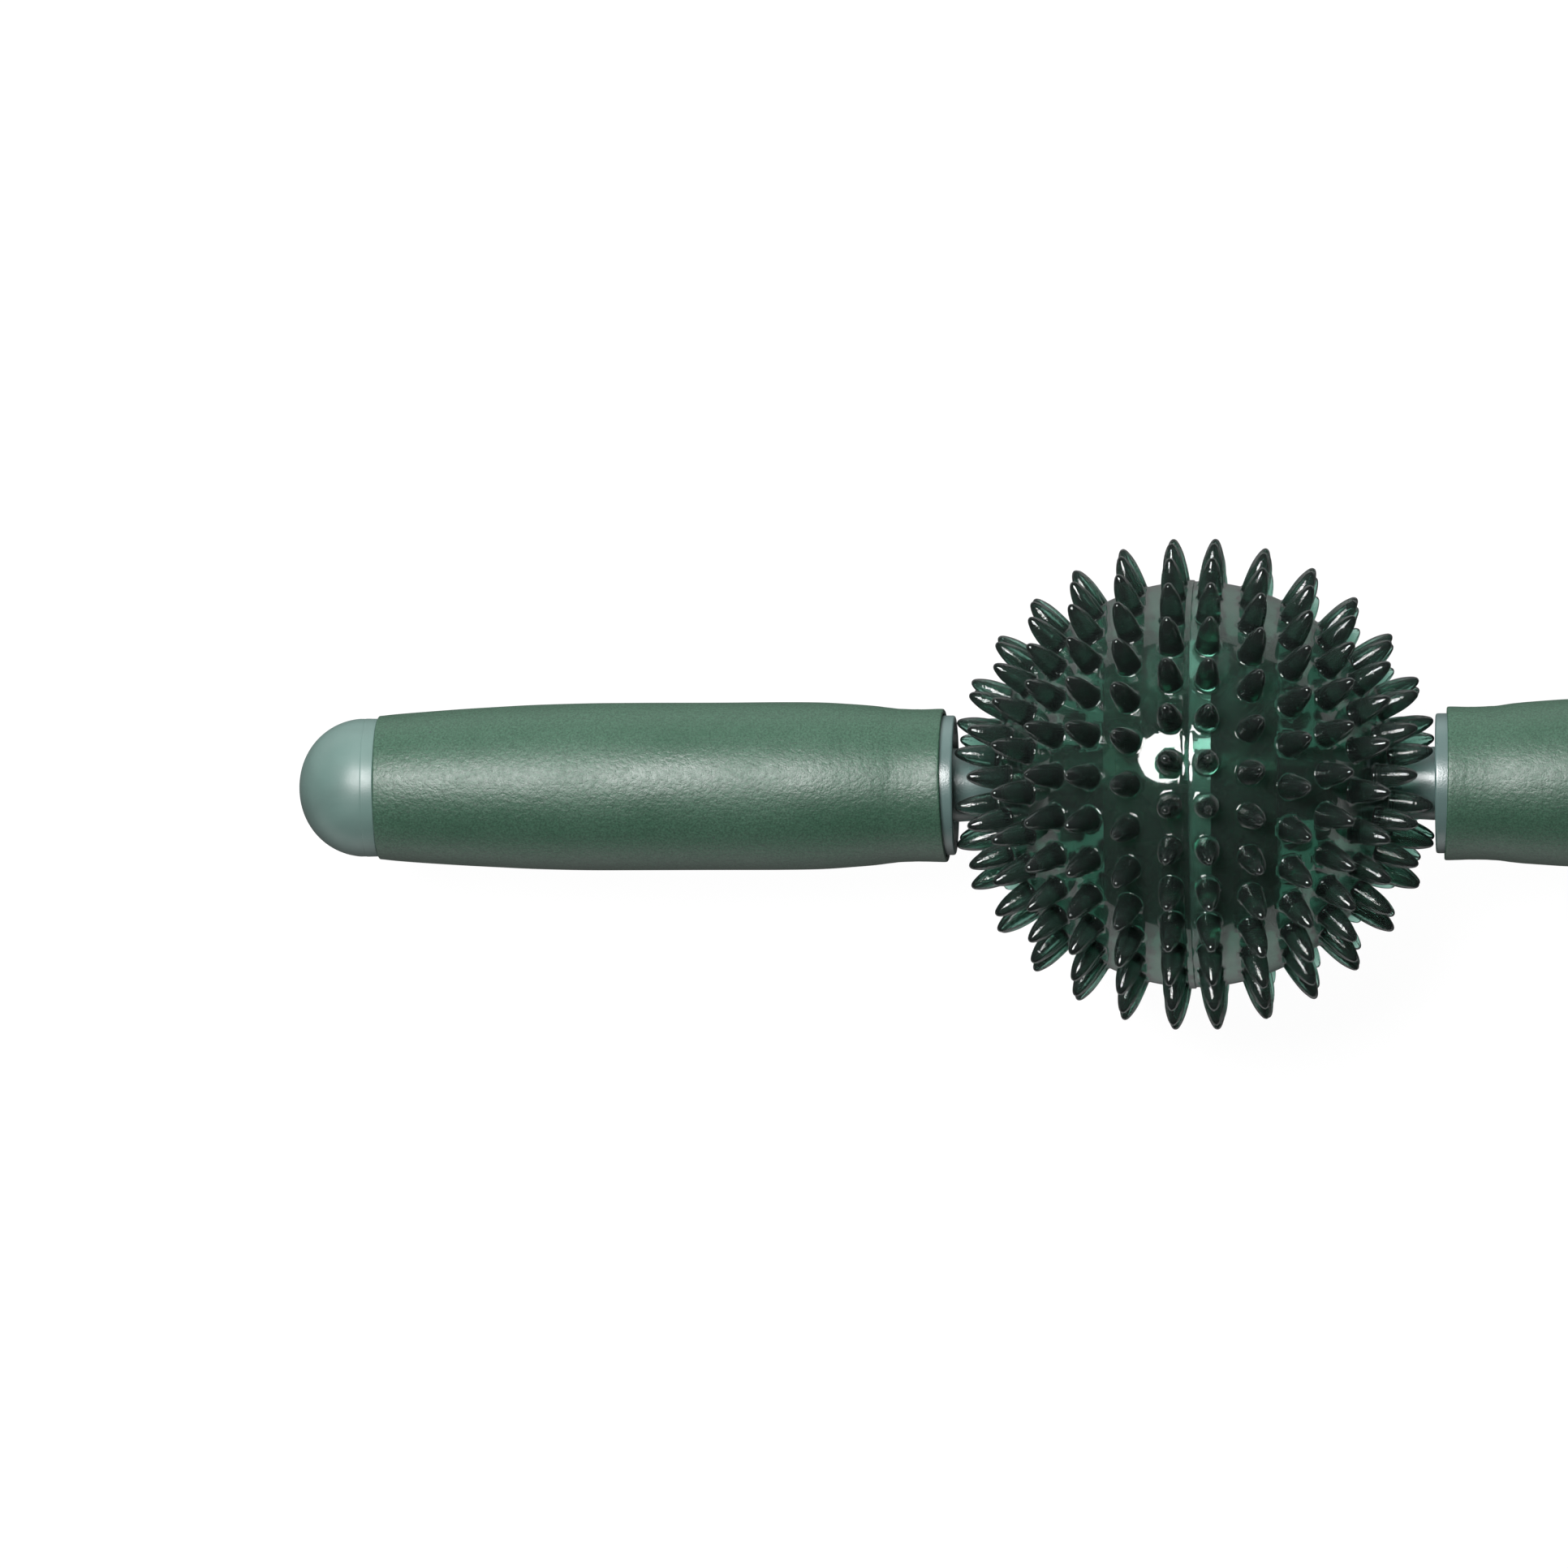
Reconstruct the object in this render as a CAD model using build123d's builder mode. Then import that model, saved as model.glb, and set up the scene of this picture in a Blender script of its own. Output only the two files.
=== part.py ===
"""Two-handed foot massage roller: a spiked ball turning on a steel axle between two foam handles.

Frame: millimetres, origin at the ball's centre, +X along the axle to the right handle, +Z up.
Every piece of the left end lies at negative x, and the right end repeats it mirrored.
"""
import os
from math import cos, radians, sin, sqrt

from build123d import *

# ball
BALL_R = 41.2           # outside of the wall, between the spikes
WALL = 3.0
TIP_R = 50.0            # sphere the spike tips lie on
SEAM_LAP = 4.4          # length of the lap joint along the axle
SEAM_GAP = 0.06         # glue gap in the lap joint
SPIKE_BASE_R = 2.55
SPIKE_FOOT = 1.3        # straight part of a spike above the wall
SPIKE_ROOT = 0.6        # depth a spike is sunk into the wall
SPIKE_BELLY = (0.86, 0.53)      # point on the flank: share of the base radius, share of the height
SPIKE_LEAN = 30.0       # lean of the flank, in degrees, where it meets the round tip
SPIKE_TIP_R = 1.1

# spike rings of the left half: latitude from the seam, number of spikes, first spike's angle from +Z
SPIKE_RINGS = [
    (5.0, 30, 6.0),
    (17.0, 29, 0.0),
    (29.0, 27, 2.4),
    (41.0, 24, 3.3),
    (53.0, 19, -3.3),
    (65.0, 13, 4.6),
    (75.0, 7, 31.0),
]
# the right half is moulded alike but glued on a little turned, so its rings start elsewhere
RIGHT_RING_STARTS = [6.0, 3.3, -1.0, 3.3, -3.3, 4.6, 31.0]

# hub, all inside the ball
HUB_R = 7.4
HUB_END = 38.0
HUB_BORE_R = 6.35
BUSHING_R = 6.3
BUSHING_BORE_R = 5.05
BUSHING_LENGTH = 12.0
BOSS_R = 9.0            # thickened pole of each half shell
BOSS_START = 33.5
BOSS_END = 39.0
GLUE_GAP = 0.03         # round every glued seat inside the ball
POLE_HOLE_R = 7.6
DRUM_R = 30.0
DRUM_HALF = 17.0
DRUM_WALL = 2.0
DISC_THICKNESS = 2.4
DISC_RIM = 1.6
DISC_HUB_R = 10.5
DISC_HUB_DEPTH = 8.0
DISC_HOLES = 6
DISC_HOLE_R = 5.5

# axle parts
AXLE_R = 4.0
AXLE_HALF = 163.0
AXLE_CHAMFER = 0.8
AXLE_BORE_R = 4.05
SPACER_R = 5.0
NECK_END = 38.9         # ball end of the collar's neck
THRUST_THICKNESS = 0.55
THRUST_R = 7.1
THRUST_BORE_R = 5.05

# handle
COLLAR_FACE = 48.7
COLLAR_R = 14.2
COLLAR_EDGE = 0.5       # chamfer round the face
COLLAR_RECESS_R = 12.5
COLLAR_RECESS = 2.5
COLLAR_DRAFT = 0.3      # the recess opens by this much towards the ball
COLLAR_ROOT = 1.2       # slope between the neck and the floor of the recess
COLLAR_BACK = 54.0
COLLAR_SPIGOT_END = 64.0
NECK_R_BALL = 6.9
NECK_R_COLLAR = 7.6
CORE_R = 11.0
CORE_BORE_R = 9.0
CORE_START = 54.1
CORE_END = 166.3
SPIGOT_R = 8.95
FOAM_START = 50.6
FOAM_END = 166.2
FOAM_BORE_R = 11.1
FOAM_LIP_BORE_R = 14.5
FOAM_LIP_DEPTH = 3.7
FOAM_MOUTH_R = 15.3
GRIP_R = 17.05          # parallel middle of the grip
GRIP_START = 84.0
GRIP_END = 124.0
CAP_R = 14.1
CAP_FACE = 166.5
CAP_SHOULDER = 169.6
CAP_POLE = 182.8
CAP_CAVITY_R = 7.9
CAP_CAVITY_POINT = 2.0  # coned end of the cavity beyond the shoulder
CAP_SPIGOT_START = 155.5
GUIDE_START = 146.0
GUIDE_END = 152.0
WASHER_R = 8.2
WASHER_BORE_R = 4.2
WASHER_THICKNESS = 1.6
NUT_FLATS = 13.0
NUT_THICKNESS = 6.5

# grip radius between the lip and the parallel middle, and from there to the cap
LIP_SIDE = [(51.5, 15.55), (56.0, 15.5), (60.5, 15.65), (65.0, 16.2), (70.0, 16.6), (76.0, 16.95)]
CAP_SIDE = [(134.0, 16.75), (142.0, 16.35), (150.0, 15.9), (158.0, 15.35), (163.0, 14.95)]
# rounded edge at the cap end
FOAM_EDGE = 0.9
FOAM_EDGE_R = 14.6
FOAM_END_R = 13.9

LEFT = -1
RIGHT = 1


def save(part, name):
    """Label one piece and write its STEP file."""
    part.label = name
    export_step(part, f"parts/{name}.step")


def spike_tool():
    """One spike, standing on the origin along +Z with its root below."""
    height = TIP_R - BALL_R
    belly_r = SPIKE_BELLY[0] * SPIKE_BASE_R
    belly_height = SPIKE_BELLY[1] * height
    lean = radians(SPIKE_LEAN)
    halfway = (lean + radians(90)) / 2      # middle of the round tip, between flank and top
    centre = height - SPIKE_TIP_R           # of the round tip
    with BuildPart() as tool:
        with BuildSketch(Plane.XZ):
            with BuildLine():
                root = Line((0, -SPIKE_ROOT), (SPIKE_BASE_R, -SPIKE_ROOT))
                foot = Line(root @ 1, (SPIKE_BASE_R, SPIKE_FOOT))
                flank = Spline(
                    foot @ 1,
                    (belly_r, belly_height),
                    (SPIKE_TIP_R * cos(lean), centre + SPIKE_TIP_R * sin(lean)),
                    tangents=[(0, 1), (-sin(lean), cos(lean))],
                )
                tip = ThreePointArc(
                    flank @ 1,
                    (SPIKE_TIP_R * cos(halfway), centre + SPIKE_TIP_R * sin(halfway)),
                    (0, height),
                )
                Line(tip @ 1, root @ 0)
            make_face()
        revolve(axis=Axis.Z)
    return tool.part


def spike_places(side):
    """Where each spike of one half stands on the wall."""
    places = []
    for ring, (latitude, count, left_start) in enumerate(SPIKE_RINGS):
        start = left_start if side == LEFT else RIGHT_RING_STARTS[ring]
        along = side * sin(radians(latitude))
        out = cos(radians(latitude))
        for number in range(count):
            turn = radians(start + 360 * number / count)
            direction = Vector(along, out * sin(turn), out * cos(turn))
            places.append(Location(Plane(origin=direction * BALL_R, z_dir=direction)))
    return places


def half_ball(side):
    """One moulded half: wall, pole boss on the hub, lap joint at the seam, and its spikes."""
    inner_r = BALL_R - WALL
    lap_r = BALL_R - WALL / 2
    with BuildPart() as shell:
        with BuildSketch(Plane.XZ):
            Circle(BALL_R)
            Circle(inner_r, mode=Mode.SUBTRACT)
            with Locations((side * (BOSS_START + BOSS_END) / 2, 0)):
                Rectangle(BOSS_END - BOSS_START, 2 * BOSS_R)
            # only the upper outline of this half is kept for the revolve
            Rectangle(4 * BALL_R, 4 * BALL_R, align=(Align.CENTER, Align.MAX), mode=Mode.SUBTRACT)
            away = Align.MIN if side == LEFT else Align.MAX
            Rectangle(4 * BALL_R, 4 * BALL_R, align=(away, Align.CENTER), mode=Mode.SUBTRACT)
            # bore over the hub tube, wider at the outside where the neck enters
            Rectangle(4 * BALL_R, 2 * (HUB_R + GLUE_GAP), mode=Mode.SUBTRACT)
            with Locations((side * (HUB_END + BALL_R), 0)):
                Rectangle(2 * BALL_R, 2 * POLE_HOLE_R, mode=Mode.SUBTRACT)
        revolve(axis=Axis.X)
        if side == LEFT:
            # tongue: the inner half of the wall runs on under the right half
            with BuildSketch(Plane.YZ):
                Circle(lap_r - SEAM_GAP)
                Circle(inner_r, mode=Mode.SUBTRACT)
            extrude(amount=SEAM_LAP - SEAM_GAP)
        else:
            # rebate that takes the tongue
            with BuildSketch(Plane.YZ):
                Circle(lap_r)
            extrude(amount=SEAM_LAP, mode=Mode.SUBTRACT)
        with Locations(spike_places(side)):
            add(spike_tool())
    return shell.part


def tube(outer_r, inner_r, start, end):
    """A plain tube along X from start to end."""
    with BuildPart() as piece:
        with BuildSketch(Plane.YZ.offset(start)):
            Circle(outer_r)
            Circle(inner_r, mode=Mode.SUBTRACT)
        extrude(amount=end - start)
    return piece.part


def side_tube(side, outer_r, inner_r, near, far):
    """A plain tube on one side, from near to far out from the ball's centre."""
    return tube(outer_r, inner_r, min(side * near, side * far), max(side * near, side * far))


def axle_rod():
    """Steel rod through the whole roller."""
    with BuildPart() as rod:
        with BuildSketch(Plane.YZ.offset(-AXLE_HALF)):
            Circle(AXLE_R)
        extrude(amount=2 * AXLE_HALF)
        chamfer(rod.edges().filter_by(GeomType.CIRCLE), length=AXLE_CHAMFER)
    return rod.part


def drum_disc(side):
    """Pierced disc with a rim spigot inside the drum and a hub sleeve on the hub tube."""
    inner_face = DRUM_HALF - DISC_THICKNESS
    with BuildPart() as disc:
        with BuildSketch(Plane.YZ.offset(side * DRUM_HALF)):
            Circle(DRUM_R)
        extrude(amount=-side * DISC_THICKNESS)
        with BuildSketch(Plane.YZ.offset(side * inner_face)):
            Circle(DRUM_R - DRUM_WALL - GLUE_GAP)
            Circle(DRUM_R - DRUM_WALL - DISC_RIM, mode=Mode.SUBTRACT)
            Circle(DISC_HUB_R)
        extrude(amount=-side * DISC_HUB_DEPTH)
        with BuildSketch(Plane.YZ.offset(side * DRUM_HALF)):
            Circle(HUB_R + GLUE_GAP)
            with PolarLocations((DISC_HUB_R + DRUM_R - DRUM_WALL) / 2, DISC_HOLES):
                Circle(DISC_HOLE_R)
        extrude(amount=-side * (DISC_THICKNESS + DISC_HUB_DEPTH), mode=Mode.SUBTRACT)
    return disc.part


def collar(side):
    """Ferrule of the handle: recessed collar, neck towards the ball, spigot inside the core tube."""
    recess_floor = COLLAR_FACE + COLLAR_RECESS
    with BuildPart() as ferrule:
        with BuildSketch(Plane.XZ):
            with BuildLine():
                Polyline(
                    (side * NECK_END, AXLE_BORE_R),
                    (side * NECK_END, NECK_R_BALL),
                    (side * (recess_floor - COLLAR_ROOT), NECK_R_COLLAR),
                    (side * recess_floor, NECK_R_COLLAR + COLLAR_ROOT),
                    (side * recess_floor, COLLAR_RECESS_R),
                    (side * COLLAR_FACE, COLLAR_RECESS_R + COLLAR_DRAFT),
                    (side * COLLAR_FACE, COLLAR_R - COLLAR_EDGE),
                    (side * (COLLAR_FACE + COLLAR_EDGE), COLLAR_R),
                    (side * COLLAR_BACK, COLLAR_R),
                    (side * COLLAR_BACK, SPIGOT_R),
                    (side * COLLAR_SPIGOT_END, SPIGOT_R),
                    (side * COLLAR_SPIGOT_END, AXLE_BORE_R),
                    close=True,
                )
            make_face()
        revolve(axis=Axis.X)
    return ferrule.part


def foam_grip(side):
    """Swelling foam sleeve with a thin lip over the collar and a rounded outer end."""
    lip_inside = FOAM_START + FOAM_LIP_DEPTH
    with BuildPart() as sleeve:
        with BuildSketch(Plane.XZ):
            with BuildLine():
                mouth = Polyline(
                    (side * FOAM_END, FOAM_BORE_R),
                    (side * lip_inside, FOAM_BORE_R),
                    (side * lip_inside, FOAM_LIP_BORE_R),
                    (side * FOAM_START, FOAM_LIP_BORE_R),
                    (side * FOAM_START, FOAM_MOUTH_R),
                    (side * LIP_SIDE[0][0], LIP_SIDE[0][1]),
                )
                rise = Spline(
                    [mouth @ 1]
                    + [(side * x, r) for x, r in LIP_SIDE[1:]]
                    + [(side * GRIP_START, GRIP_R)]
                )
                middle = Line(rise @ 1, (side * GRIP_END, GRIP_R))
                fall = Spline(
                    [middle @ 1]
                    + [(side * x, r) for x, r in CAP_SIDE]
                )
                edge = ThreePointArc(
                    fall @ 1,
                    (side * (FOAM_END - FOAM_EDGE), FOAM_EDGE_R),
                    (side * FOAM_END, FOAM_END_R),
                )
                Line(edge @ 1, mouth @ 0)
            make_face()
        revolve(axis=Axis.X)
    return sleeve.part


def end_cap(side):
    """Domed plug: hollow spigot in the core tube, shoulder and rounded outside."""
    with BuildPart() as cap:
        with BuildSketch(Plane.XZ):
            with BuildLine():
                outline = Polyline(
                    (side * (CAP_SHOULDER + CAP_CAVITY_POINT), 0),
                    (side * CAP_SHOULDER, CAP_CAVITY_R),
                    (side * CAP_SPIGOT_START, CAP_CAVITY_R),
                    (side * CAP_SPIGOT_START, SPIGOT_R),
                    (side * CAP_FACE, SPIGOT_R),
                    (side * CAP_FACE, CAP_R),
                    (side * CAP_SHOULDER, CAP_R),
                )
                diagonal = sqrt(0.5)
                dome = Spline(
                    outline @ 1,
                    (side * (CAP_SHOULDER + (CAP_POLE - CAP_SHOULDER) * diagonal), CAP_R * diagonal),
                    (side * CAP_POLE, 0),
                    tangents=[(side, 0), (0, -1)],
                )
                Line(dome @ 1, outline @ 0)
            make_face()
        revolve(axis=Axis.X)
    return cap.part


def rod_nuts():
    """The two hexagon nuts on the ends of the axle."""
    start = GUIDE_END + WASHER_THICKNESS
    with BuildPart() as nuts:
        for side in (LEFT, RIGHT):
            with BuildSketch(Plane.YZ.offset(side * start)):
                RegularPolygon(NUT_FLATS / 2, 6, major_radius=False)
                Circle(AXLE_BORE_R, mode=Mode.SUBTRACT)
            extrude(amount=side * NUT_THICKNESS)
    return nuts.part


def washers(outer_r, inner_r, start, thickness):
    """The same washer at both ends of the axle."""
    with BuildPart() as pair:
        for side in (LEFT, RIGHT):
            with BuildSketch(Plane.YZ.offset(side * start)):
                Circle(outer_r)
                Circle(inner_r, mode=Mode.SUBTRACT)
            extrude(amount=side * thickness)
    return pair.part


os.makedirs("parts", exist_ok=True)

for side, word in ((LEFT, "left"), (RIGHT, "right")):
    save(half_ball(side), f"ball_shell_{word}")
    bushing = side_tube(side, BUSHING_R, BUSHING_BORE_R, HUB_END - BUSHING_LENGTH, HUB_END)
    save(bushing, f"hub_bushing_{word}")
    save(drum_disc(side), f"drum_disc_{word}")
    save(collar(side), f"collar_{word}")
    save(foam_grip(side), f"foam_grip_{word}")
    save(end_cap(side), f"end_cap_{word}")
    save(side_tube(side, CORE_R, CORE_BORE_R, CORE_START, CORE_END), f"handle_core_{word}")
    save(side_tube(side, SPIGOT_R, AXLE_BORE_R, GUIDE_START, GUIDE_END), f"rod_guide_{word}")

drum_inside = DRUM_HALF - DISC_THICKNESS - GLUE_GAP
save(tube(HUB_R, HUB_BORE_R, -HUB_END, HUB_END), "hub_tube")
save(tube(DRUM_R, DRUM_R - DRUM_WALL, -drum_inside, drum_inside), "drum_barrel")
save(tube(SPACER_R, AXLE_BORE_R, -NECK_END, NECK_END), "spacer_tube")
save(axle_rod(), "axle_rod")
thrust_start = NECK_END - THRUST_THICKNESS
save(washers(THRUST_R, THRUST_BORE_R, thrust_start, THRUST_THICKNESS), "thrust_washers")
save(washers(WASHER_R, WASHER_BORE_R, GUIDE_END, WASHER_THICKNESS), "rod_washers")
save(rod_nuts(), "rod_nuts")
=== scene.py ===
"""Foot massage roller: the visual model on the CAD frame.

Blender works in metres, with +X along the axle and +Z up. Outlines are in millimetres, as (x, r): x runs
along the axle, out from the middle of the ball, and r out from the axle.
"""
import random
from math import acos, cos, pi, radians, sin, sqrt

import bmesh
import bpy
from mathutils import Matrix, Vector, noise


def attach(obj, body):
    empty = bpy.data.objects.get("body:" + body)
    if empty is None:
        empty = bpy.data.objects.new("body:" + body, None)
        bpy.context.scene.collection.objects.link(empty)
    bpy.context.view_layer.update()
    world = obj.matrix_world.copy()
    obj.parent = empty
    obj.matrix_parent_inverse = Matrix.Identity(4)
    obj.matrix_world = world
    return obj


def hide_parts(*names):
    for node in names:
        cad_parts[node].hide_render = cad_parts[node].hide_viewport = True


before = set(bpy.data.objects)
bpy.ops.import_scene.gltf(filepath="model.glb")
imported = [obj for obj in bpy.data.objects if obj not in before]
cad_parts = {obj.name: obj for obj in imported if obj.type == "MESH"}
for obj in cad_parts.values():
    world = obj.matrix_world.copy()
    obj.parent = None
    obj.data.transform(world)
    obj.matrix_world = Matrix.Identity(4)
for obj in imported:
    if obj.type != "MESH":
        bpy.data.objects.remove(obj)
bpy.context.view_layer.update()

MM = 0.001
SIDES = ((-1, "left"), (1, "right"))
scene = bpy.context.scene
scene.view_settings.view_transform = "Standard"

# ---------------------------------------------------------------- ball sizes (mm), as in the CAD
BALL_R = 41.2       # outside of the wall
INNER_R = 38.2      # inside of the wall
HOLE_R = 7.6        # mouth of the wall's hole at each pole
HOLE_STEP = 38.0    # the hole narrows to the boss's bore here
HUB_FIT_R = 7.43    # bore of the boss, tight on the hub tube
BOSS_R = 9.0        # boss round the hub tube
BOSS_END = 33.5
LAP = 4.34          # the left half's lip runs this far into the right half
LIP_R = 39.6        # outside of the lip
STEP_X = 4.4        # end and radius of the right half's step, which the lip goes into
STEP_R = 39.7
SEAM_X = 0.03       # the halves meet just past the middle
SEAM_R = 41.15
# ridge of squeezed-out plastic along the seam, on the left half: x, height over the wall
FLASH = ((0.0, 0.24), (0.5, 0.26), (1.1, 0.22), (1.22, 0.0))
# rings of spikes: latitude, count, and the first spike's turn on the left half and on the right, in degrees
SPIKE_RINGS = (
    (5, 30, 6.0, 6.0), (17, 29, 0.0, 3.3), (29, 27, 2.4, -1.0), (41, 24, 3.3, 3.3),
    (53, 19, -3.3, -3.3), (65, 13, 4.6, 4.6), (75, 7, 31.0, 31.0),
)
# half outline of one spike: radius, height over the wall; it flares into the wall at its foot
SPIKE = (
    (2.6, -0.6), (2.95, -0.12), (2.74, 0.0), (2.61, 0.14), (2.54, 0.4), (2.5, 1.0), (2.43, 1.8),
    (2.35, 2.6), (2.25, 3.5), (2.12, 4.4), (1.95, 5.3), (1.74, 6.1), (1.47, 6.9), (1.2, 7.55),
    (0.98, 8.0), (0.78, 8.33), (0.56, 8.57), (0.35, 8.72), (0.17, 8.78), (0.0, 8.8),
)
TIP_R = BALL_R + SPIKE[-1][1]
SPIKE_SWAY = 0.02   # how far a spike may lean off its own line, as a slope

# ---------------------------------------------------------------- handle sizes (mm), as in the CAD
ROD_FIT_R = 4.05    # bore of the collar over the axle rod
PLUG_R = 8.95       # collar and cap both plug into the handle core
NECK_START = 38.9
NECK_R = 6.9
NECK_ROOT_R = 7.55
COLLAR_R = 14.2
COLLAR_START, COLLAR_END = 48.7, 54.0
RECESS_FLOOR = 51.2     # the collar's face is sunk between the neck and the rim
RECESS_R = 12.45
COLLAR_PLUG_END = 64.0
FOAM_BORE_R = 11.1
FOAM_MOUTH_R = 14.5     # the foam's lip goes over the collar
FOAM_MOUTH_END = 54.3
FOAM_END = 166.46
FOAM_WOBBLE = 0.05      # unevenness of the foam's skin
WRINKLES_X = 60         # fine wrinkles run across the grip here, and fade out over WRINKLES_REACH
WRINKLES_REACH = 11
LIP_REACH = 5           # the lip's uneven edge fades out over this length
CAP_PLUG_START = 155.5
CAP_CAVITY_R = 7.9
CAP_CAVITY_END = 169.6
CAP_START = 166.5
CAP_R = 14.1
GROOVE_X = 169.0
GROOVE_DEPTH = 0.06
DOME_START = 169.3
DOME_LENGTH = 13.5
PARTING_TURN = pi + 0.62    # where the mould's parting line runs, in radians from the top
PARTING_HALF = 0.017        # half its width, in radians
PARTING_HEIGHT = 0.05

# ---------------------------------------------------------------- fineness of the meshes
WALL_SEGMENTS = 240
SPIKE_SEGMENTS = 24
FOAM_SEGMENTS = 256
FOAM_STEPS = 8
PLASTIC_SEGMENTS = 360
OUTSIDE_STEPS = 60
INSIDE_STEPS = 44


# ---------------------------------------------------------------- mesh helpers
def rounded(corners, steps):
    """Outline through (x, r, fillet) corners, each rounded by its fillet."""
    points = []
    for i, (x, r, fillet) in enumerate(corners):
        here = Vector((x, r))
        if fillet == 0:
            points.append(here)
            continue
        before = Vector(corners[i - 1][:2]) - here
        after = Vector(corners[(i + 1) % len(corners)][:2]) - here
        cut = min(fillet, 0.49 * before.length, 0.49 * after.length)
        start = here + before.normalized() * cut
        end = here + after.normalized() * cut
        for step in range(steps + 1):
            t = step / steps
            points.append(start * (1 - t) ** 2 + here * 2 * t * (1 - t) + end * t ** 2)
    return points


def curve_through(points, steps):
    """Catmull-Rom curve through (x, r) points, ends included."""
    held = [Vector(point) for point in points]
    held = [2 * held[0] - held[1]] + held + [2 * held[-1] - held[-2]]
    curve = []
    for a, b, c, d in zip(held, held[1:], held[2:], held[3:]):
        for step in range(steps):
            t = step / steps
            curve.append(0.5 * (2 * b + (c - a) * t + (2 * a - 5 * b + 4 * c - d) * t * t
                                + (3 * b - 3 * c + d - a) * t ** 3))
    curve.append(held[-2])
    return curve


def make_object(name, bm, sharp=35):
    """Turn a bmesh into a smooth-shaded object, with edges past an angle in degrees kept sharp."""
    bmesh.ops.remove_doubles(bm, verts=bm.verts, dist=1e-7)
    bmesh.ops.recalc_face_normals(bm, faces=bm.faces)
    mesh = bpy.data.meshes.new(name)
    bm.to_mesh(mesh)
    bm.free()
    mesh.shade_smooth()
    mesh.set_sharp_from_angle(angle=radians(sharp))
    obj = bpy.data.objects.new(name, mesh)
    scene.collection.objects.link(obj)
    return obj


def lathe(name, outline, side, segments, wobble=None, shift=None, sharp=35):
    """Closed outline turned about the axle; side -1 puts it on the left.

    wobble(x, r, turn) adds to the radius and shift(x, turn) moves a point along the axle, both in mm.
    A turn is in radians from the top.
    """
    bm = bmesh.new()
    rings = []
    for point in outline:
        ring = []
        for k in range(segments):
            turn = 2 * pi * k / segments
            x = point.x + (shift(point.x, turn) if shift else 0.0)
            r = max(point.y + (wobble(point.x, point.y, turn) if wobble else 0.0), 0.0)
            ring.append(bm.verts.new((side * x * MM, r * sin(turn) * MM, r * cos(turn) * MM)))
        rings.append(ring)
    for i, ring in enumerate(rings):
        n = (i + 1) % len(rings)
        if max(outline[i].y, outline[n].y) > 1e-6:
            join_rings(bm, ring, rings[n])
    return make_object(name, bm, sharp)


def join_rings(bm, lower, upper):
    """A band of four-sided faces between two rings of points."""
    for k in range(len(lower)):
        n = (k + 1) % len(lower)
        bm.faces.new((lower[k], lower[n], upper[n], upper[k]))


def finish_piece(piece, material, body="handles_and_axle"):
    """Give a piece its material and the body that it rides on."""
    piece.data.materials.append(material)
    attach(piece, body)


# ---------------------------------------------------------------- material helpers
class Look:
    """A Principled material with short ways to add nodes."""

    def __init__(self, name, color, roughness, **sockets):
        self.material = bpy.data.materials.new(name)
        self.material.use_nodes = True
        self.tree = self.material.node_tree
        self.shader = self.tree.nodes["Principled BSDF"]
        self.set(Base_Color=(*color, 1), Roughness=roughness, **sockets)
        self.place = self.node("TexCoord").outputs["Object"]

    def put(self, socket, value):
        """Link a socket to another, or give it a constant."""
        if isinstance(value, bpy.types.NodeSocket):
            self.tree.links.new(value, socket)
        else:
            socket.default_value = value

    def node(self, kind, **inputs):
        made = self.tree.nodes.new("ShaderNode" + kind)
        for key, value in inputs.items():
            self.put(made.inputs[key.replace("_", " ")], value)
        return made

    def set(self, **values):
        for key, value in values.items():
            self.put(self.shader.inputs[key.replace("_", " ")], value)

    def noise(self, scale, detail=3.0, stretch=(1, 1, 1), distortion=0.0):
        where = self.node("Mapping", Vector=self.place, Scale=stretch).outputs[0]
        made = self.node("TexNoise", Vector=where, Scale=scale, Detail=detail, Distortion=distortion)
        return made.outputs["Fac"]

    def fit(self, value, low, high, to_low=0.0, to_high=1.0):
        """Map the range low to high onto to_low to to_high, clamped."""
        made = self.node("MapRange", Value=value, From_Min=low, From_Max=high, To_Min=to_low, To_Max=to_high)
        return made.outputs[0]

    def mix(self, factor, a, b):
        made = self.node("Mix")
        made.data_type = "RGBA"
        self.put(made.inputs[0], factor)
        for socket, value in ((made.inputs[6], a), (made.inputs[7], b)):
            self.put(socket, value if isinstance(value, bpy.types.NodeSocket) else (*value, 1))
        return made.outputs[2]

    def maths(self, operation, *values):
        made = self.node("Math")
        made.operation = operation
        for socket, value in zip(made.inputs, values):
            self.put(socket, value)
        return made.outputs[0]

    def add_scaled(self, value, other, amount):
        """value + other * amount."""
        return self.maths("ADD", value, self.maths("MULTIPLY", other, amount))

    def bump(self, height, distance, strength, under=None):
        made = self.node("Bump", Height=height, Distance=distance, Strength=strength)
        if under:
            self.put(made.inputs["Normal"], under)
        return made.outputs[0]


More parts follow.
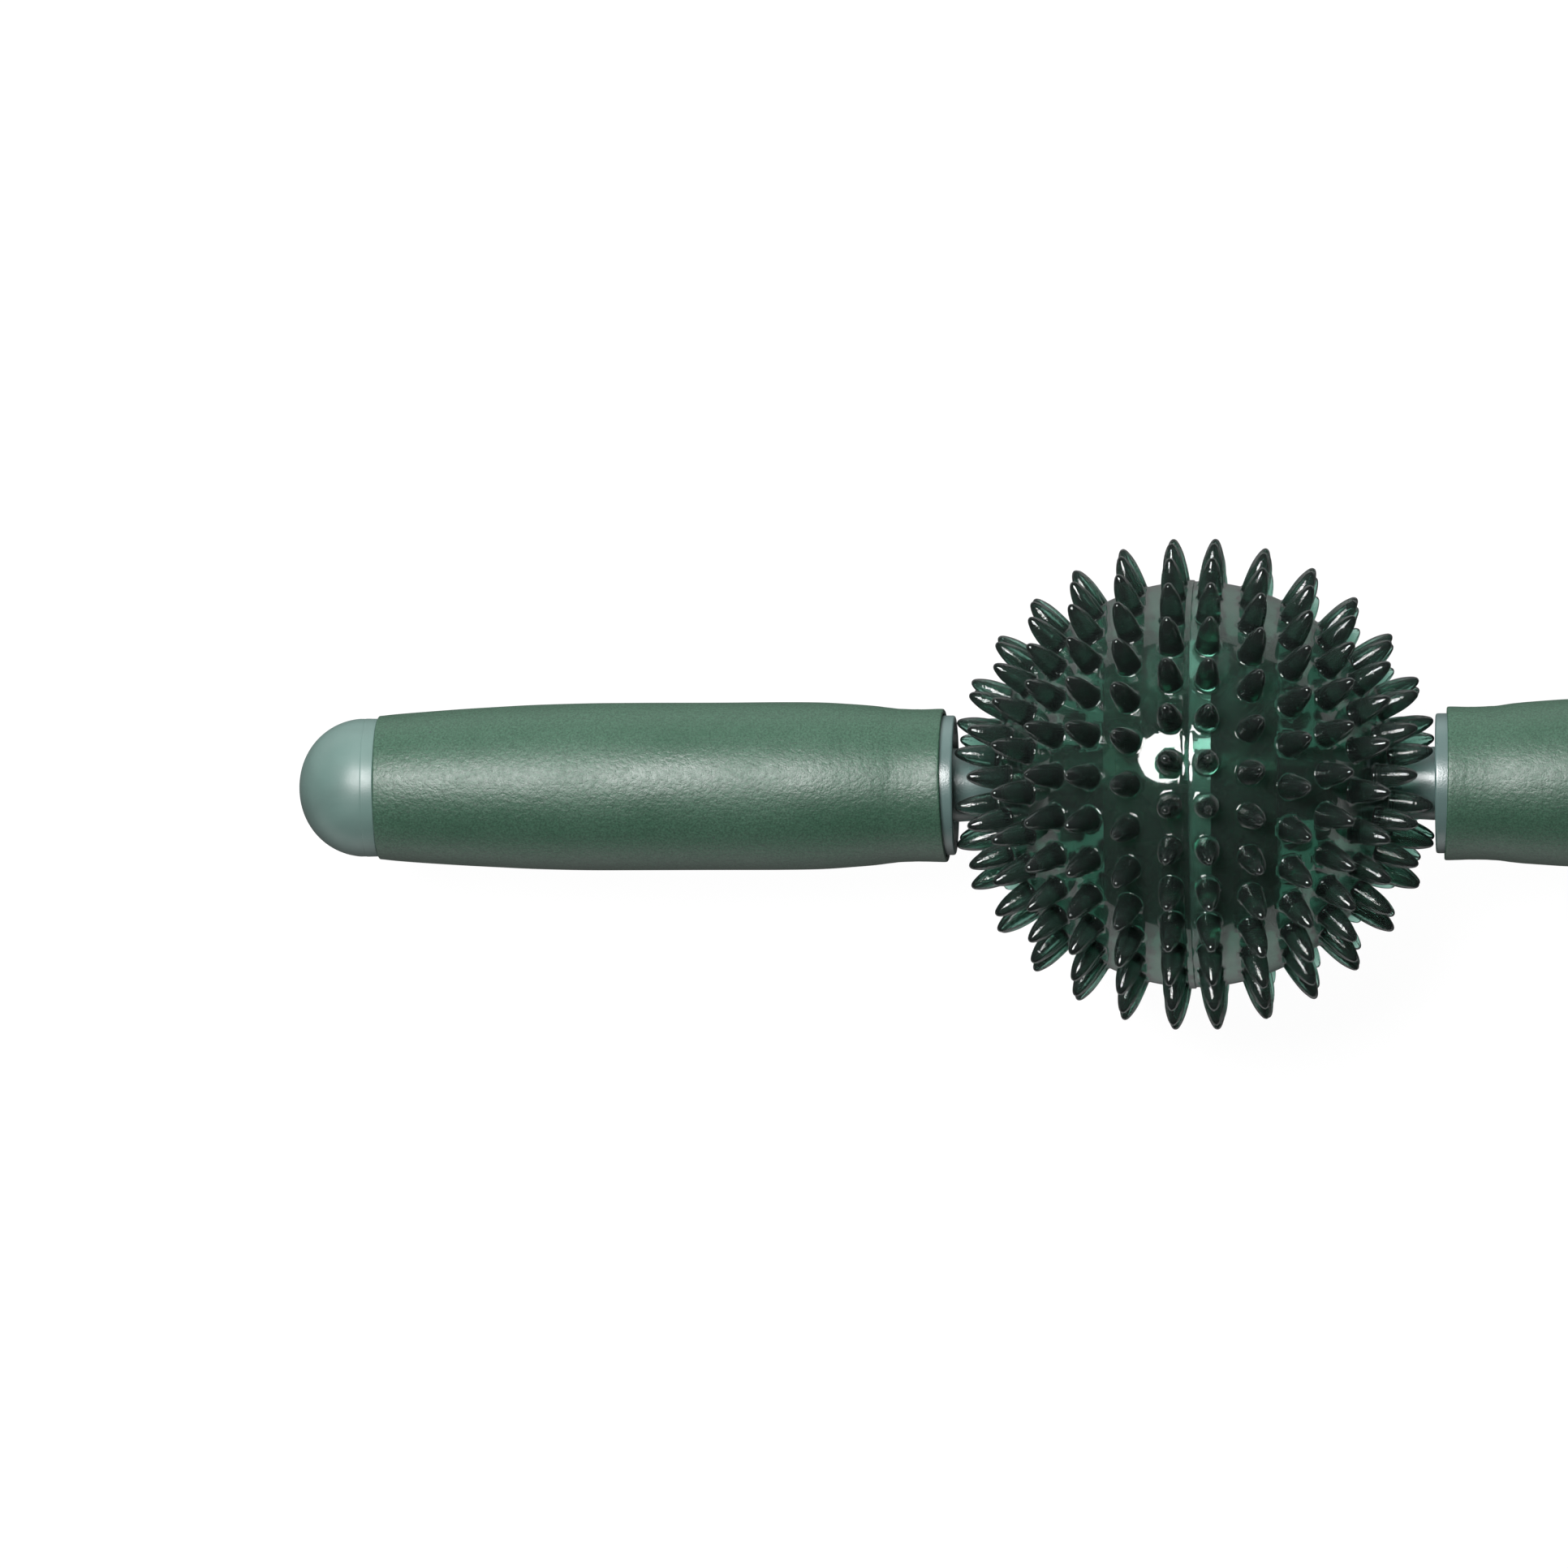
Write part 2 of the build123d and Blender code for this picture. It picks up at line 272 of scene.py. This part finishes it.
# ---------------------------------------------------------------- materials
def pvc(name, color, clear, density):
    """Translucent dark-green soft PVC: tinted by depth, with a glossy wall and finely pebbled spikes."""
    look = Look(name, color, 0.06, Transmission_Weight=clear, IOR=1.5, Sheen_Weight=0.15, Sheen_Roughness=0.2)
    smear = look.noise(55, 4, distortion=0.6)
    pebbles = look.noise(2000, 3)
    ripple = look.noise(420, 2)
    # by distance from the ball's middle, the pebbles start just over the wall and fade at the tips
    far = look.node("VectorMath", Vector=look.place)
    far.operation = "LENGTH"
    on_spike = look.fit(far.outputs["Value"], (BALL_R + 0.4) * MM, (BALL_R + 2.3) * MM)
    below_tip = look.fit(far.outputs["Value"], (TIP_R - 2.2) * MM, (TIP_R - 0.8) * MM, 1.0, 0.15)
    rough_skin = look.maths("MULTIPLY", on_spike, below_tip)
    look.set(Roughness=look.add_scaled(look.fit(smear, 0.35, 0.75, 0.03, 0.1), rough_skin, 0.03))
    under = look.bump(look.add_scaled(smear, ripple, 0.25), 0.00012, 0.5)
    look.set(Normal=look.bump(look.maths("MULTIPLY", pebbles, rough_skin), 0.0001, 0.8, under))
    absorb = look.node("VolumeAbsorption", Color=(0.29, 0.5, 0.43, 1), Density=density)
    look.put(look.tree.nodes["Material Output"].inputs["Volume"], absorb.outputs[0])
    return look.material


def foam():
    """Dark green foam rubber with a satin leathery skin, a fine dark grain and a few dark specks."""
    look = Look("grip_foam", (0.03, 0.085, 0.052), 0.45, Specular_IOR_Level=0.72)
    mottle = look.noise(60, 5)
    hammer = look.noise(1100, 4, (0.8, 1, 1), 0.4)
    grain = look.noise(2500, 3)
    creases = look.noise(300, 3, (2.4, 0.5, 0.5), 0.6)
    specks = look.fit(look.noise(700, 0), 0.86, 0.88)
    color = look.mix(look.fit(mottle, 0.3, 0.7), (0.0265, 0.076, 0.046), (0.034, 0.092, 0.057))
    color = look.mix(look.fit(grain, 0.36, 0.64, 0, 0.9), color, (0.0135, 0.043, 0.0255))
    color = look.mix(specks, color, (0.02, 0.035, 0.03))
    look.set(Base_Color=color, Roughness=look.fit(look.maths("ADD", mottle, hammer), 0.7, 1.3, 0.4, 0.54))
    under = look.bump(look.add_scaled(hammer, grain, 0.45), 0.0002, 0.6)
    look.set(Normal=look.bump(creases, 0.00012, 0.3, under))
    return look.material


def satin(name, color, smooth=0.36, texture=0.45, shine=0.5):
    """Satin moulded plastic: fine spark texture, faint flow marks and handling marks."""
    look = Look(name, color, 0.42, Specular_IOR_Level=shine)
    flow = look.noise(30, 4, (1, 2.2, 2.2), 0.8)
    spark = look.noise(2600, 2)
    rub = look.noise(260, 5, (1, 1, 0.3))
    lighter = [c * 1.13 for c in color]
    darker = [c * 0.88 for c in color]
    look.set(Base_Color=look.mix(look.fit(flow, 0.3, 0.7), darker, lighter))
    look.set(Roughness=look.fit(rub, 0.3, 0.72, smooth, smooth + 0.13))
    look.set(Normal=look.bump(look.add_scaled(spark, rub, 0.4), 0.00003, texture))
    return look.material


def steel():
    """Zinc-plated steel with turning marks."""
    look = Look("axle_steel", (0.55, 0.55, 0.56), 0.3, Metallic=1.0)
    marks = look.noise(700, 4, (6, 1, 1))
    look.set(Roughness=look.fit(marks, 0.3, 0.7, 0.22, 0.42), Normal=look.bump(marks, 0.00002, 0.4))
    return look.material


PVC = pvc("ball_pvc", (0.6, 0.82, 0.76), 0.988, 600.0)
GLUE = pvc("seam_glue", (0.5, 0.74, 0.64), 0.7, 170.0)
FOAM = foam()
STEEL = steel()
CAP = satin("moulded_plastic", (0.09, 0.149, 0.134), shine=0.65)
COLLAR = satin("collar_plastic", (0.07, 0.113, 0.107), smooth=0.25, texture=0.9, shine=0.8)
CORE = satin("core_plastic", (0.028, 0.1, 0.064), smooth=0.2)
NYLON = satin("bearing_nylon", (0.72, 0.71, 0.66))


# ---------------------------------------------------------------- ball
def wall_arc(radius, x_from, x_to, steps):
    """Arc about the ball's middle, between two places along the axle."""
    first, last = acos(x_from / radius), acos(x_to / radius)
    angles = [first + (last - first) * step / steps for step in range(steps + 1)]
    return [Vector((radius * cos(angle), radius * sin(angle))) for angle in angles]


def wall_outline(side):
    """Section of one half's wall: the left half has the lip and the flash, the right half the step."""
    hole_x = sqrt(BALL_R ** 2 - HOLE_R ** 2)
    boss_x = sqrt(INNER_R ** 2 - BOSS_R ** 2)
    boss = rounded([(40.2, HOLE_R, 0.2), (HOLE_STEP, HOLE_R, 0.2), (HOLE_STEP, HUB_FIT_R, 0.1),
                    (BOSS_END, HUB_FIT_R, 0.3), (BOSS_END, BOSS_R, 0.6), (boss_x - 0.8, BOSS_R, 1.0)], 4)
    if side < 0:
        outside_from, inside_from = FLASH[-1][0] + 0.03, 0.0
        seam = [(-LAP, INNER_R), (-LAP, LIP_R), (SEAM_X, LIP_R), (SEAM_X, SEAM_R)]
        seam += [(x, BALL_R + height) for x, height in FLASH]
    else:
        outside_from, inside_from = 0.12, STEP_X
        seam = [(STEP_X, STEP_R), (SEAM_X, STEP_R), (SEAM_X, SEAM_R)]
    outside = wall_arc(BALL_R, outside_from, hole_x - 0.05, OUTSIDE_STEPS)
    inside = wall_arc(INNER_R, inside_from, boss_x - 1.2, INSIDE_STEPS)
    return outside + boss + inside[::-1] + [Vector(point) for point in seam]


def add_spike(bm, direction):
    """One closed spike, sunk a little into the wall and leaning slightly off its own line."""
    lean = direction + noise.noise_vector(direction * 37.0) * SPIKE_SWAY
    turned = lean.to_track_quat("Z", "Y").to_matrix().to_4x4()
    place = Matrix.Translation(direction * BALL_R * MM) @ turned
    rings = []
    for radius, height in SPIKE[:-1]:
        turns = [2 * pi * k / SPIKE_SEGMENTS for k in range(SPIKE_SEGMENTS)]
        ring = [Vector((radius * cos(turn), radius * sin(turn), height)) * MM for turn in turns]
        rings.append([bm.verts.new(place @ point) for point in ring])
    bm.faces.new(rings[0][::-1])
    for lower, upper in zip(rings, rings[1:]):
        join_rings(bm, lower, upper)
    last = rings[-1]
    tip = bm.verts.new(place @ Vector((0, 0, SPIKE[-1][1] * MM)))
    for k in range(SPIKE_SEGMENTS):
        bm.faces.new((last[k], last[(k + 1) % SPIKE_SEGMENTS], tip))


def spikes(side):
    """All spikes of one half, as closed bodies in one mesh."""
    bm = bmesh.new()
    for latitude, count, left_start, right_start in SPIKE_RINGS:
        start = left_start if side < 0 else right_start
        along, out = side * sin(radians(latitude)), cos(radians(latitude))
        for number in range(count):
            turn = radians(start + 360 * number / count)
            add_spike(bm, Vector((along, out * sin(turn), out * cos(turn))))
    return make_object("spikes_tool", bm)


def join_spikes(shell, tool):
    """Join wall and spikes into one closed skin."""
    join = shell.modifiers.new("spikes", "BOOLEAN")
    join.operation = "UNION"
    join.solver = "MANIFOLD"
    join.object = tool
    joined = bpy.data.meshes.new_from_object(shell.evaluated_get(bpy.context.evaluated_depsgraph_get()))
    joined.name = shell.name
    joined.materials.clear()
    joined.shade_smooth()
    joined.set_sharp_from_angle(angle=radians(38))
    shell.modifiers.clear()
    shell.data = joined
    bpy.data.objects.remove(tool)


def add_bubbles(mesh, side, count=45):
    """Tiny air bubbles cast into the wall: little spheres facing inwards."""
    dice = random.Random(7 + side)
    bm = bmesh.new()
    bm.from_mesh(mesh)
    for _ in range(count):
        x = dice.uniform(0.15, 0.93) * side
        turn = dice.uniform(0, 2 * pi)
        out = sqrt(1 - x * x)
        deep = dice.uniform(INNER_R + 0.5, BALL_R - 0.5)
        middle = Vector((x, out * sin(turn), out * cos(turn))) * deep * MM
        size = dice.choice((0.09, 0.12, 0.12, 0.17, 0.24)) * MM
        made = bmesh.ops.create_icosphere(bm, subdivisions=2, radius=size, matrix=Matrix.Translation(middle))
        faces = {face for vert in made["verts"] for face in vert.link_faces}
        for face in faces:
            face.smooth = True
        bmesh.ops.reverse_faces(bm, faces=list(faces))
    bm.to_mesh(mesh)
    bm.free()


def glue_lip(shell, side):
    """The lip's outside, which is glued into the other half, is milkier."""
    shell.data.materials.append(GLUE)
    for face in shell.data.polygons:
        x, y, z = face.center / MM
        if 0.1 < side * -x < LAP - 0.1 and LIP_R - 0.2 < sqrt(y * y + z * z) < LIP_R + 0.05:
            face.material_index = 1


def half_ball(side, word):
    """One half of the ball: wall, spikes, bubbles and glued lip."""
    def flash_wobble(x, r, turn):
        if side > 0 or x > 1.15 or r < BALL_R + 0.1:
            return 0.0
        return 0.16 * noise.noise(Vector((cos(turn), sin(turn), 0.3 + 0.1 * x)) * 30)

    shell = lathe(f"spiky_shell_{word}", wall_outline(side), side, WALL_SEGMENTS, flash_wobble)
    join_spikes(shell, spikes(side))
    add_bubbles(shell.data, side)
    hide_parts(f"ball_shell_{word}")
    finish_piece(shell, PVC, "spiked_ball")
    glue_lip(shell, side)


# ---------------------------------------------------------------- handles
def foam_sleeve(side, word):
    """The swelling grip: thin lip over the collar, soft rounded cap end, fine wrinkles near the lip."""
    # the level stretch has points too, so that the wobble is sampled finely there
    skin = curve_through([(50.6, 15.35), (51.0, 15.58), (53.0, 15.56), (56.0, 15.5), (60.5, 15.65),
                          (65.0, 16.2), (70.0, 16.6), (76.0, 16.95), (84.0, 17.05), (94.0, 17.05),
                          (104.0, 17.05), (114.0, 17.05), (124.0, 17.02), (134.0, 16.75), (142.0, 16.35),
                          (150.0, 15.9), (158.0, 15.35), (163.0, 14.95), (165.2, 14.72)], FOAM_STEPS)
    end = rounded([(165.3, 14.7, 0), (FOAM_END, 14.6, 0.3), (FOAM_END, 13.2, 0.4),
                   (166.4, FOAM_BORE_R, 0)], 5)
    bore = rounded([(166.3, FOAM_BORE_R, 0), (FOAM_MOUTH_END, FOAM_BORE_R, 0),
                    (FOAM_MOUTH_END, FOAM_MOUTH_R, 0), (50.75, FOAM_MOUTH_R + 0.05, 0.2),
                    (50.55, 15.0, 0.15)], 3)

    def skin_wobble(x, r, turn):
        if r < 14.6:
            return 0.0
        up, across = cos(turn), sin(turn)
        slow = noise.noise(Vector((x * 0.05, up * 1.5, across * 1.5)))
        wrinkle = noise.noise(Vector((x * 0.75, up * 1.3 + side, across * 1.3)))
        near_collar = max(0.0, 1 - abs(x - WRINKLES_X) / WRINKLES_REACH)
        return FOAM_WOBBLE * (slow + near_collar * wrinkle)

    def lip_shift(x, turn):
        """The lip isn't quite square: it stands back from the ball on top."""
        near_lip = max(0.0, 1 - max(0.0, x - 51) / LIP_REACH)
        return near_lip * (0.8 * ((1 + cos(turn)) / 2) ** 2 + 0.3 * sin(turn) - 0.1)

    piece = lathe(f"grip_sleeve_{word}", skin + end + bore, side, FOAM_SEGMENTS, skin_wobble, lip_shift)
    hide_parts(f"foam_grip_{word}")
    finish_piece(piece, FOAM)


def parting_line(outside):
    """A wobble for lathe: a faint raised line where outside(x, r) is true."""
    def wobble(x, r, turn):
        on_line = abs(turn - PARTING_TURN) < PARTING_HALF
        return PARTING_HEIGHT if on_line and outside(x, r) else 0.0
    return wobble


def cap(side, word):
    """Domed end plug with a fine groove between shoulder and dome."""
    outline = rounded([(CAP_CAVITY_END + 1, 0, 0), (CAP_CAVITY_END, CAP_CAVITY_R, 0.5),
                       (CAP_PLUG_START, CAP_CAVITY_R, 0.2), (CAP_PLUG_START, PLUG_R, 0.3),
                       (CAP_START, PLUG_R, 0), (CAP_START, CAP_R - 0.05, 0.25),
                       (GROOVE_X - 0.1, CAP_R, 0.06), (GROOVE_X, CAP_R - GROOVE_DEPTH, 0.04),
                       (GROOVE_X + 0.1, CAP_R, 0.06)], 5)
    for angle in range(4, 90, 3):
        bulge = cos(radians(angle)) ** 0.96
        outline.append(Vector((DOME_START + DOME_LENGTH * sin(radians(angle)), CAP_R * bulge)))
    outline.append(Vector((DOME_START + DOME_LENGTH, 0)))
    line = parting_line(lambda x, r: x > CAP_START + 0.1 and r > 9.2)
    piece = lathe(f"cap_dome_{word}", outline, side, PLASTIC_SEGMENTS, line, sharp=60)
    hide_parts(f"end_cap_{word}")
    finish_piece(piece, CAP)


def ferrule(side, word):
    """Recessed collar with its neck to the ball and its plug into the handle core."""
    outline = rounded([(NECK_START, ROD_FIT_R, 0.2), (NECK_START, NECK_R, 0.4),
                       (RECESS_FLOOR - 1.2, NECK_ROOT_R, 1.0), (RECESS_FLOOR, NECK_ROOT_R + 1.25, 1.0),
                       (RECESS_FLOOR, RECESS_R, 0.5), (COLLAR_START, RECESS_R + 0.35, 0.25),
                       (COLLAR_START, COLLAR_R, 0.6), (COLLAR_END, COLLAR_R, 0.2),
                       (COLLAR_END, PLUG_R, 0.1), (COLLAR_PLUG_END, PLUG_R, 0.3),
                       (COLLAR_PLUG_END, ROD_FIT_R, 0.2)], 6)
    line = parting_line(lambda x, r: r > COLLAR_R - 0.2)
    piece = lathe(f"collar_ferrule_{word}", outline, side, PLASTIC_SEGMENTS, line, sharp=40)
    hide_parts(f"collar_{word}")
    finish_piece(piece, COLLAR)


# ---------------------------------------------------------------- finishes of the CAD's own nodes
CAD_FINISHES = (
    (CORE, ("hub_tube", "drum_barrel", "drum_disc_left", "drum_disc_right", "handle_core_left",
            "handle_core_right")),
    (NYLON, ("hub_bushing_left", "hub_bushing_right", "thrust_washers", "rod_guide_left", "rod_guide_right")),
    (STEEL, ("spacer_tube", "axle_rod", "rod_washers", "rod_nuts")),
)


def finish_cad_node(node, material):
    """Put a material in every slot of a CAD node's object."""
    cad_object = bpy.data.objects[node]
    if not cad_object.material_slots:
        cad_object.data.materials.append(None)
    for held in cad_object.material_slots:
        held.material = material


# ---------------------------------------------------------------- stage, light, camera (m)
FLOOR_HALF = 6.0
FLOOR_Z = -0.0499           # just under the spikes
FLOOR_SEEN = 0.97           # the floor's brightness as it shows, and as it lights the object
FLOOR_LIGHTING = 0.32
SHADE = (0.05, 0.14)        # the object's own shade on the floor fades between these distances from the axle
SHADE_LEVEL = 0.08
WORLD_LIGHT = 0.09
WORLD_THROUGH_PLASTIC = 0.5
LENS = 260.87               # mm
SENSOR = 36                 # mm across
CAMERA_PLACE = (0.0816, 0.0004, 2.3064)
CAMERA_TILT = radians(4.1)
CAMERA_ROLL = radians(-0.235)


def floor():
    """Shows white but lights the object as pale card does, less still in its own shade along the axle."""
    bm = bmesh.new()
    bmesh.ops.create_grid(bm, x_segments=2, y_segments=2, size=FLOOR_HALF)
    plane = make_object("floor", bm)
    plane.location.z = FLOOR_Z
    look = Look("floor", (0.05, 0.05, 0.05), 0.9, Emission_Color=(1, 1, 1, 1))
    path = look.node("LightPath")
    level = look.fit(path.outputs["Is Diffuse Ray"], 0, 1, FLOOR_SEEN, FLOOR_LIGHTING)
    aside = look.maths("ABSOLUTE", look.node("SeparateXYZ", Vector=look.place).outputs["Y"])
    lit = look.fit(aside, *SHADE, SHADE_LEVEL, 1.0)
    for ray in ("Is Camera Ray", "Is Transmission Ray"):
        lit = look.maths("MAXIMUM", lit, path.outputs[ray])
    look.set(Emission_Strength=look.maths("MULTIPLY", level, lit))
    plane.data.materials.append(look.material)


def area_light(name, direction, distance, size, power, glossy=True):
    """Round softbox that looks at the origin."""
    light = bpy.data.lights.new(name, "AREA")
    light.shape = "DISK"
    light.size = size
    light.energy = power
    lamp = bpy.data.objects.new(name, light)
    direction = Vector(direction).normalized()
    lamp.location = direction * distance
    lamp.rotation_euler = direction.to_track_quat("Z", "Y").to_euler()
    lamp.visible_camera = False
    lamp.visible_glossy = glossy
    scene.collection.objects.link(lamp)


def studio():
    """Dim white surroundings, brighter for rays that pass through the clear plastic."""
    world = bpy.data.worlds.new("studio")
    world.use_nodes = True
    tree = world.node_tree
    backdrop = tree.nodes["Background"]
    backdrop.inputs["Color"].default_value = (1, 1, 1, 1)
    path = tree.nodes.new("ShaderNodeLightPath")
    level = tree.nodes.new("ShaderNodeMapRange")
    level.inputs["To Min"].default_value = WORLD_LIGHT
    level.inputs["To Max"].default_value = WORLD_THROUGH_PLASTIC
    tree.links.new(path.outputs["Is Transmission Ray"], level.inputs["Value"])
    tree.links.new(level.outputs["Result"], backdrop.inputs["Strength"])
    scene.world = world


def aim_camera():
    """Long lens from above, leaning towards +X and rolled a little."""
    data = bpy.data.cameras.new("camera")
    data.sensor_width = SENSOR
    data.lens = LENS
    data.clip_end = 20
    camera = bpy.data.objects.new("camera", data)
    turned = Matrix.Rotation(CAMERA_TILT, 4, "Y") @ Matrix.Rotation(CAMERA_ROLL, 4, "Z")
    camera.matrix_world = Matrix.Translation(CAMERA_PLACE) @ turned
    scene.collection.objects.link(camera)
    scene.camera = camera


# ---------------------------------------------------------------- the whole
for side, word in SIDES:
    half_ball(side, word)
    foam_sleeve(side, word)
    cap(side, word)
    ferrule(side, word)
for material, nodes in CAD_FINISHES:
    for node in nodes:
        finish_cad_node(node, material)

floor()
area_light("key", (-0.26, 0.26, 0.93), distance=1.2, size=0.6, power=22.5)
area_light("sky", (-0.1, 1.0, 0.2), distance=1.7, size=1.4, power=34, glossy=False)
studio()
aim_camera()
